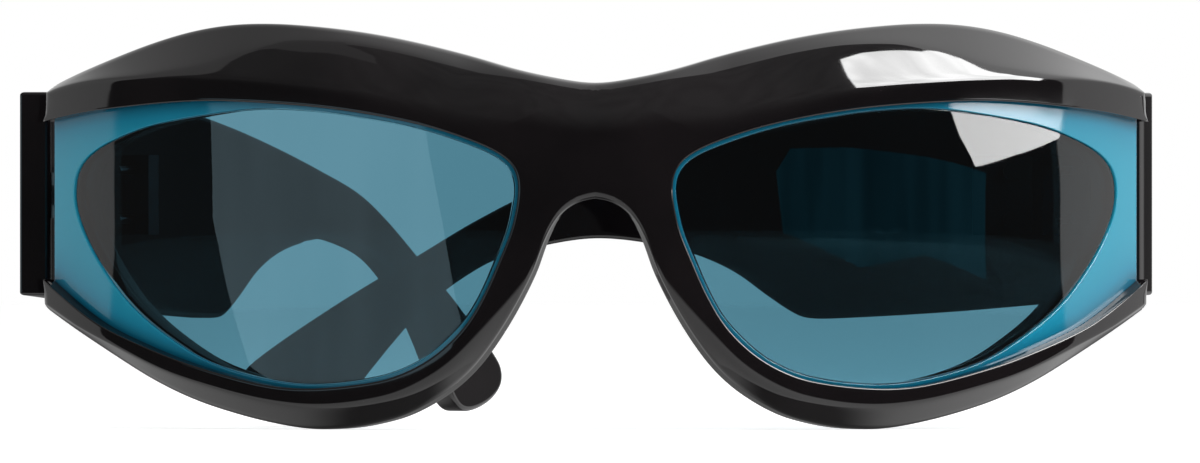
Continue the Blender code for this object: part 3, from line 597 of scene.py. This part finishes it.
for word, side in SIDES:
    seat = lens_reach + LENS_LIP
    rows = rounded_corner(lens_reach, BLUE_FRONT, BLUE_LENS_EDGE, 1, 1)
    level_start = lens_reach + BLUE_LEVEL_START
    rows += [(level_start, BLUE_FRONT)]
    rows += spread(level_start, layer_reach - BLUE_LEVEL_END, BLUE_FRONT, 18)
    rows += rounded_corner(layer_reach, BLUE_FRONT, BLUE_OUTER_EDGE, -1, 1)[::-1]
    rows += rounded_corner(layer_reach, BLUE_BACK, BLUE_OUTER_EDGE, -1, -1)
    rows += spread(layer_reach - BLUE_OUTER_EDGE, seat, BLUE_BACK, 6)
    rows += [(seat, LENS_SEAT), (lens_reach, LENS_SEAT)]
    points, faces, flat = turned_rows(rows, side)
    # The mark kept here sets the painted shade: it is one at the black's edge and falls off with the
    # distance from it.
    new_piece(
        f"blue_layer_{word}_shown", points, faces, blue_acetate, "front",
        f"blue_layer_{word}",
        marks={"near_black": np.exp(-clearance(flat, face_opening) / SHADE_REACH)},
    )


# The inner rims: black acetate again, glued behind the blue. They close the lenses in from behind
# and carry the hinges. From the front only their cut edge shows, inside the lens openings.

RIM_FRONT = 0.00438
RIM_EDGE, RIM_OUTER_EDGE, RIM_LENS_EDGE = 0.0001, 0.0004, 0.0005

for word, side in SIDES:
    rows = rounded_corner(lens_reach, RIM_FRONT, RIM_EDGE, 1, 1)
    rows += spread(lens_reach + RIM_EDGE, layer_reach - RIM_EDGE, RIM_FRONT, 8)
    rows += rounded_corner(layer_reach, RIM_FRONT, RIM_EDGE, -1, 1)[::-1]
    rows += rounded_corner(layer_reach, FRONT_DEPTH, RIM_OUTER_EDGE, -1, -1)
    rows += spread(layer_reach - RIM_OUTER_EDGE, lens_reach + RIM_LENS_EDGE, FRONT_DEPTH, 10)
    rows += rounded_corner(lens_reach, FRONT_DEPTH, RIM_LENS_EDGE, 1, -1)[::-1]
    points, faces, _ = turned_rows(rows, side)
    new_piece(
        f"inner_rim_{word}_shown", points, faces, black_acetate, "front",
        f"inner_rim_{word}",
    )


# The lenses: teal tinted plastic, 2.3 mm thick and bent like the front. Each is a rounded teardrop
# that sits a hair below the blue, with a thin flange behind the blue's edge that holds it. Its
# face stays level up to the rounded edge, so that it mirrors the room evenly.

LENS_FRONT, LENS_BACK = 0.0019, 0.0042
LENS_GAP, SEAT_GAP = 0.00006, 0.0001
LENS_EDGE = 0.00015
LENS_LEVEL_ROWS = (0.0004, 0.0002)
LENS_FLANGE = 0.0008


def lens_look(start):
    """Clear tinted plastic. The tint is a shade uneven, as dye baths leave it, and wiping has
    left the faintest haze."""
    place = start.node("TexCoord").out("Object")
    dye = start.noise(place, 22, 2).between(0.3, 0.7)
    wiped = start.noise(place, 130, 5)
    return {
        "Base Color": dye.blend((0.080, 0.232, 0.305, 1), (0.090, 0.248, 0.325, 1)),
        "Roughness": 0.004 + 0.012 * wiped,
    }


def let_lamps_through(material, tint):
    """Rays from the lamps pass straight through the tint, as they do through thin glass."""
    start = Field(material.node_tree)
    is_lamp_ray = start.node("LightPath").out("Is Shadow Ray")
    clear = start.node("BsdfTransparent", {}, {"Color": (*tint, 1)})
    start.node("MixShader", {}, {0: is_lamp_ray, 1: start.base(), 2: clear}).show()


teal_lens = new_finish("teal_lens", {"IOR": 1.5, "Transmission Weight": 1.0}, lens_look)
let_lamps_through(teal_lens, (0.085, 0.24, 0.315))

for word, side in SIDES:
    edge = lens_reach - LENS_GAP
    flange = lens_reach + LENS_FLANGE
    rows = [(edge * share, LENS_FRONT) for share in np.linspace(0, 1, 25)[:-1]]
    rows += [(edge - inwards, LENS_FRONT) for inwards in LENS_LEVEL_ROWS]
    rows += rounded_corner(edge, LENS_FRONT, LENS_EDGE, -1, 1)[::-1]
    rows += [(edge, LENS_SEAT + SEAT_GAP), (flange, LENS_SEAT + SEAT_GAP), (flange, LENS_BACK)]
    rows += spread(flange, 0 * flange, LENS_BACK, 24)
    points, faces, _ = turned_rows(rows, side, closed=False)
    new_piece(
        f"lens_{word}_shown", points, faces, teal_lens, "front", f"lens_{word}",
    )


# The hinges: stamped and rolled steel leaves, screwed to the inner rims and to the temples, with
# a shouldered screw through their three knuckles. The leaves are plated dark, and the knuckles
# are ground bright, with fine marks from the rolling.

HINGE_AXES = {"left": (0.064645, -0.02464), "right": (-0.062874, -0.02464)}
KNUCKLE_REACH, KNUCKLE_BLEND = 0.0026, 0.0006
PLATING = (0.022, 0.021, 0.023, 1)


def steel_look(start, tone=(0.72, 0.74, 0.73), marks_scale=0.12, dullness=0.16):
    """Bright steel with fine marks along its length and a little tarnish in the low places."""
    place = start.node("TexCoord").out("Object")
    along = start.node("Mapping", {}, {"Vector": place, "Scale": (1.0, 1.0, marks_scale)})
    streaks = start.noise(along, 900, 3)
    tarnish = start.noise(place, 700, 4).between(0.45, 0.75)
    bump = start.node("Bump", {}, {"Strength": 0.15, "Distance": 0.00002, "Height": streaks})
    return {
        "Base Color": tarnish.blend((*tone, 1), (*[part * 0.72 for part in tone], 1)),
        "Roughness": dullness + 0.14 * streaks,
        "Normal": bump,
    }


def plated_look(start):
    """Bright steel round the hinge axes and dark plating away from them. The distance is taken
    from the nearer axis, which both sides share when x is counted from the middle plane."""
    look = steel_look(start)
    place = start.node("SeparateXYZ", {}, {0: start.node("TexCoord").out("Object")})
    middle = (HINGE_AXES["left"][0] + HINGE_AXES["right"][0]) / 2
    sideways = (place.out("X") - middle).maths("ABSOLUTE") - (HINGE_AXES["left"][0] - middle)
    backwards = place.out("Y") - HINGE_AXES["left"][1]
    away = (sideways * sideways + backwards * backwards).maths("SQRT")
    plating = away.between(KNUCKLE_REACH, KNUCKLE_REACH + KNUCKLE_BLEND)
    look["Base Color"] = plating.blend(look["Base Color"], PLATING)
    look["Roughness"] = look["Roughness"] + 0.2 * plating
    return look


hinge_steel = new_finish("hinge_steel", {"Metallic": 1.0}, plated_look)
for name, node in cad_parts.items():
    if "leaf" in name or "screw" in name:
        node.data.materials.clear()
        node.data.materials.append(hinge_steel)


# The temples: broad flat blades of the same black acetate, sawn from sheet, with buffed edges and
# a bent-down tip. Their butts are mitred to meet the ends of the front. The wearer's left one lies
# folded behind the lenses, and the right one stands part way open.

TEMPLE_LENGTH = 0.1210
PLATE_HEIGHT = 0.0268
PLATE_BOTTOM = 0.0174
TEMPLE_FACES = (0.00804, 0.00464)
TEMPLE_EDGE, TEMPLE_RIM = 0.0005, 0.0009
BUTT_START = -0.01075
BUTT_CORNER = 0.0004
MITRE_SLOPE = 1 / math.tan(WRAP_ANGLE)
MITRE_REACH = 0.006
SWINGS = {"left": math.radians(93), "right": math.radians(30)}

# The outline as shares of the length and of the plate's height, round from the hinge end.
TEMPLE_OUTLINE_SHARES = [
    (0.004, 1), (0.05, 0.998), (0.10, 0.993), (0.21, 0.966), (0.31, 0.910), (0.41, 0.828),
    (0.51, 0.724), (0.60, 0.616), (0.68, 0.507), (0.744, 0.366), (0.81, 0.187), (0.876, 0.011),
    (0.942, -0.183), (0.985, -0.325), (0.998, -0.395), (0.997, -0.470), (0.978, -0.540),
    (0.946, -0.590), (0.913, -0.602), (0.889, -0.545), (0.869, -0.425), (0.839, -0.254),
    (0.802, -0.067), (0.760, 0.082), (0.719, 0.183), (0.669, 0.246), (0.616, 0.280),
    (0.562, 0.261), (0.507, 0.205), (0.463, 0.119), (0.426, 0), (0.401, -0.075), (0.380, -0.112),
    (0.330, -0.108), (0.231, -0.082), (0.132, -0.045), (0.05, -0.015), (0.004, 0),
]


def temple_line():
    """The blade's outline, closed at the butt, with its two butt corners slightly eased."""
    shares = np.array(TEMPLE_OUTLINE_SHARES) * (
        TEMPLE_LENGTH / HALF_WIDTH, PLATE_HEIGHT / FRONT_HEIGHT
    )
    long_edge = flowing_line(shares, count=900, ease=0.0006) + (BUTT_START, PLATE_BOTTOM)
    top, low = long_edge[0], long_edge[-1]
    turn = np.linspace(0, np.pi / 2, 5)[:, None]
    lower = low + BUTT_CORNER * np.hstack([-np.sin(turn), 1 - np.cos(turn)])
    upper = top - BUTT_CORNER * np.hstack([np.cos(turn), 1 - np.sin(turn)])
    butt = straight_line(lower[-1], upper[0], 60)[1:-1]
    return np.vstack([long_edge, lower[1:], butt, upper[:-1]])


def inset_line(line, inset):
    """The closed line moved inwards: each point goes along the mean normal of its two spans."""
    run = np.roll(line, -1, axis=0) - np.roll(line, 1, axis=0)
    run = run / np.maximum(np.hypot(*run.T), 1e-12)[:, None]
    return line + inset * np.column_stack([run[:, 1], -run[:, 0]])


def blade_points(line):
    """Rows round the blade: the outer face's rim, its rounded edge, the side wall, the inner
    rounded edge and the inner face's rim. Near the butt the rows slide back with their distance
    from the outer face, which makes the mitre."""
    outer, inner = TEMPLE_FACES
    section = [(TEMPLE_RIM, 0)]
    section += [
        (TEMPLE_EDGE * (1 - math.sin(t)), TEMPLE_EDGE * (1 - math.cos(t)))
        for t in np.linspace(0, np.pi / 2, 6)
    ]
    section += [(inset, outer - inner - into) for inset, into in section[::-1]]
    rows = []
    for inset, into in section:
        row = inset_line(line, inset)
        near_butt = eased(1 - (row[:, 0] - BUTT_START) / MITRE_REACH)
        back = row[:, 0] + MITRE_SLOPE * into * near_butt
        rows.append(np.stack([np.full(len(row), outer - into), back, row[:, 1]], axis=-1))
    return np.stack(rows)


def swung(points, word, side):
    """Local points, as offset from the axis, distance back and height, swung in about the axis."""
    angle = side * SWINGS[word]
    x, y = side * points[..., 0], points[..., 1]
    return np.stack([
        HINGE_AXES[word][0] + x * math.cos(angle) - y * math.sin(angle),
        HINGE_AXES[word][1] + x * math.sin(angle) + y * math.cos(angle),
        points[..., 2] + FRONT_PLACE[2],
    ], axis=-1)


blade = blade_points(temple_line())
row_count, column_count = blade.shape[:2]
blade_faces = [tuple(face) for face in grid_faces(row_count, column_count, around_columns=True)]
blade_faces.append(tuple(range(column_count)))
blade_faces.append(tuple(range((row_count - 1) * column_count, row_count * column_count))[::-1])
for word, side in SIDES:
    new_piece(
        f"temple_{word}_shown", swung(blade, word, side), blade_faces, black_acetate,
        f"{word}_temple", f"temple_{word}",
    )


# The core wires: drawn steel, pushed hot into the blades from the butt. They lie inside the black
# acetate and don't show.


def wire_look(start):
    """Greyer and duller steel than the hinges', with shorter marks."""
    return steel_look(start, (0.45, 0.45, 0.46), 0.3, 0.3)


core_steel = new_finish("core_steel", {"Metallic": 1.0}, wire_look)
for word, _ in SIDES:
    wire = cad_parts[f"core_wire_{word}"]
    wire.data.materials.clear()
    wire.data.materials.append(core_steel)


# The studio: white paper under and behind the sunglasses, and a dark room on the camera's side.
# Soft lamps light the pieces. Five cards stand round them for the polish to mirror: one low on the
# left, a strong one high on the right, two beside the lens and a strip over the brow.

FLOOR_SIZE = 8.0
STUDIO_CENTRE = np.array([0, -0.06, 0.026])
CARD_DISTANCE = 3.0
PAPER_GLOW = 0.68


def seen_plainly(start):
    """One for what the camera sees, also through the lenses, and nothing for what polish shows."""
    rays = start.node("LightPath")
    unmirrored = 1 - rays.out("Glossy Depth").maths("MINIMUM", 1)
    return rays.out("Is Camera Ray").maths("MAXIMUM", rays.out("Is Transmission Ray") * unmirrored)


def paper_look(start):
    """White paper with fine fibres."""
    fibres = start.noise(start.node("TexCoord").out("Object"), 900, 4)
    return {
        "Base Color": fibres.blend((0.80, 0.80, 0.80, 1), (0.84, 0.84, 0.84, 1)),
        "Normal": start.node("Bump", {}, {"Strength": 0.2, "Distance": 0.0001, "Height": fibres}),
    }


# To the camera, also through the lenses, the paper adds a little of its own white, so that it
# stays white beside the object's soft shadow.
white_paper = new_finish("white_paper", {"Roughness": 0.9, "Specular IOR Level": 0.1}, paper_look)
sheet = Field(white_paper.node_tree)
glow = sheet.node("Emission", {}, {"Strength": PAPER_GLOW * seen_plainly(sheet)})
sheet.node("AddShader", {}, {0: sheet.base(), 1: glow}).show()

half = FLOOR_SIZE / 2
floor_mesh = bpy.data.meshes.new("paper_floor")
floor_mesh.from_pydata(
    [(-half, -half, 0), (half, -half, 0), (half, half, 0), (-half, half, 0)], [], [(0, 1, 2, 3)]
)
floor_mesh.materials.append(white_paper)
floor = bpy.data.objects.new("paper_floor", floor_mesh)
floor.visible_glossy = False
bpy.context.scene.collection.objects.link(floor)

# What the polish and the lenses see of the room, by the direction's x, y and z.
world = bpy.data.worlds.new("studio")
bpy.context.scene.world = world
world.use_nodes = True
room = Field(world.node_tree)
direction = room.node("TexCoord").out("Generated")
parts = room.node("SeparateXYZ", {}, {0: direction})
to_right, to_back, upward = (parts.out(axis) for axis in "XYZ")
sideways = to_right.maths("ABSOLUTE")
on_right = to_right.between(-0.3, 0.6)

# The dark side in front and the white side behind meet within a few degrees of straight sideways:
# further back on the left than on the right, and further forward above eye level.
behind = to_back + 0.037 * to_right - 0.060 * sideways + 0.0645 * upward.between(0.01, 0.07)
behind = behind.between(-0.004, 0.004)

# In front: dark, with a faint uneven ceiling, and the lit paper far below.
ceiling = room.noise(
    room.node("Mapping", {}, {"Vector": direction, "Scale": (9.0, 2.0, 2.0)}), 2.2, 3
)
ceiling = (0.12 + 0.28 * ceiling) * upward.between(0.2, 0.6) * to_right.between(-1, 0.1, to_low=0.3)
below = (0 - upward).between(0.4, 0.5)
in_front = (0.07 + ceiling) * (1 - below) + below * (1.1 + 0.35 * on_right)

# Behind: white and brighter on the right, but dim straight back from eye level down, and dark in
# a small patch at eye level on the right.
at_back = 0.78 + 0.47 * on_right + upward.between(0.3, 0.6) * (1.2 * on_right - 0.2)
straight_back = 1 - sideways.between(0.2, 0.45)
at_back = at_back * (1 - 0.8 * (0.05 - upward).between(0.0, 0.05) * straight_back)
right_patch = to_right.between(0.79, 0.81) * (1 - to_right.between(0.885, 0.9))
eye_level = 1 - upward.maths("ABSOLUTE").between(0.05, 0.08)
at_back = at_back * (1 - 0.85 * right_patch * eye_level)

# Inside the lenses the room is dimmer, and matt surfaces get an even light from it.
rays = room.node("LightPath")
mirrored = in_front * (1 - behind) + at_back * behind
mirrored = mirrored * (1 - 0.7 * rays.out("Transmission Depth").maths("MINIMUM", 1))
scattered = rays.out("Is Diffuse Ray")
level = mirrored * (1 - scattered) + 0.3 * scattered
level = level.maths("MAXIMUM", seen_plainly(room))
background = world.node_tree.nodes["Background"]
background.inputs["Color"].default_value = (1, 1, 1, 1)
world.node_tree.links.new(level.socket, background.inputs["Strength"])


def card(name, corners, radiance, tone=(1, 1, 1), streaks=0):
    """A glowing card that only polish mirrors. Its corners are directions: degrees from straight
    ahead of the lenses towards +X, and degrees upwards."""
    turn, rise = np.radians(np.array(corners, float)).T
    spots = np.stack([np.sin(turn) * np.cos(rise), -np.cos(turn) * np.cos(rise), np.sin(rise)], 1)
    spots = STUDIO_CENTRE + CARD_DISTANCE * spots
    mesh = bpy.data.meshes.new(name)
    mesh.from_pydata(spots.tolist(), [], [tuple(range(len(spots)))])
    made = bpy.data.materials.new(name)
    made.use_nodes = True
    start = Field(made.node_tree)
    place = start.node("TexCoord").out("Object")
    place = start.node("Mapping", {}, {"Vector": place, "Scale": (1, 1, 0.2)})
    cloud = start.noise(place, 3.2, 3).between(0.3, 0.7)
    strength = radiance * (1 - streaks) + radiance * streaks * cloud
    start.node("Emission", {}, {"Color": (*tone, 1), "Strength": strength}).show()
    mesh.materials.append(made)
    panel = bpy.data.objects.new(name, mesh)
    for kind in ("camera", "diffuse", "transmission", "volume_scatter", "shadow"):
        setattr(panel, f"visible_{kind}", False)
    bpy.context.scene.collection.objects.link(panel)


# Mirrored as the pale panel across the lens on the image's left.
card("left_card", [
    (-72, 6.3), (-61, 8), (-52, 9.6), (-31.5, 10.9), (-27.3, 0.3), (-24.6, -7.9), (-21.6, -14.8),
    (-30, -14.8), (-45, -13.3), (-58, -10.7), (-63.7, -8.5), (-66.2, -6.2), (-69.4, -3),
    (-72.4, 0.5), (-72.3, 3.7),
], radiance=1.25, tone=(0.7, 1.0, 1.15), streaks=0.15)

# Mirrored as the bright highlight on the brow on the image's right.
card("right_soft_box", [
    (47.2, 35.4), (54, 55.6), (75.5, 53.2), (82.4, 51.4), (92.7, 50.9), (94.5, 44.2), (89.1, 25.3),
    (83.3, 11.9), (72.5, 19.5), (60.2, 24.6),
], radiance=23, streaks=0.3)

# Mirrored as the bright wedge at the top of the lens on the image's right.
card("right_card", [
    (65.2, 7.3), (68, 5.1), (71.6, 3.1), (80, 2.9), (90.4, 2.4), (90.4, 3), (87, 3.5), (82.8, 4.4),
    (76.1, 5.6), (69.4, 6.8),
], radiance=13)

# Mirrored as the dim teal panel in the same lens.
card("right_dim_card", [
    (32.4, 4.9), (35.1, 6.9), (45.6, 6.4), (60.8, 4.6), (73.9, 2.6), (73.9, -2.6), (60.8, -1.8),
    (48.3, -3.2), (33.7, -0.5),
], radiance=1, tone=(0.06, 0.28, 0.40), streaks=0.5)

# Mirrored as the faint sheen on the brow on the image's left.
card("left_strip", [
    (-92, 51.5), (-71, 53), (-45, 57.5), (-50, 63), (-75, 68), (-120, 72), (-110, 60),
], radiance=0.45)


def lamp(name, place, size, radiance, aim=(0, -0.05, 0.03)):
    """A soft square lamp for the matt light, which the polish doesn't mirror. Its power is its
    radiance times its area times pi."""
    light = bpy.data.lights.new(name, "AREA")
    light.size = size
    light.energy = radiance * size**2 * math.pi
    made = bpy.data.objects.new(name, light)
    made.visible_glossy = False
    bpy.context.scene.collection.objects.link(made)
    made.location = place
    made.rotation_euler = (Vector(aim) - Vector(place)).to_track_quat("-Z", "Y").to_euler()


lamp("right_lamp", (1.15, -0.85, 0.7), size=0.9, radiance=3.6)
lamp("top_lamp", (-0.2, -0.2, 1.6), size=1.6, radiance=0.7)


# The camera: level and straight in front, 2.4 m off, as for a catalogue picture. Its lens makes a
# pixel of the photograph 0.1313 mm wide at about the depth of the front's outer ends.

CAMERA_DISTANCE = 2.4
PIXEL = 0.0001313
IMAGE_WIDTH = 1200
SENSOR_WIDTH = 36
AIM_ASIDE, AIM_DEPTH, AIM_HEIGHT = 4.5 * PIXEL, 0.036, 196 * PIXEL

camera_data = bpy.data.cameras.new("catalogue_camera")
camera_data.sensor_width = SENSOR_WIDTH
camera_data.lens = SENSOR_WIDTH * CAMERA_DISTANCE / (IMAGE_WIDTH * PIXEL)
camera_data.clip_start, camera_data.clip_end = 0.1, 40
camera = bpy.data.objects.new("catalogue_camera", camera_data)
bpy.context.scene.collection.objects.link(camera)
camera.location = (
    FRONT_PLACE[0] + AIM_ASIDE, FRONT_PLACE[1] + AIM_DEPTH - CAMERA_DISTANCE, AIM_HEIGHT,
)
camera.rotation_euler = (math.pi / 2, 0, 0)
bpy.context.scene.camera = camera
bpy.context.scene.view_settings.view_transform = "Standard"
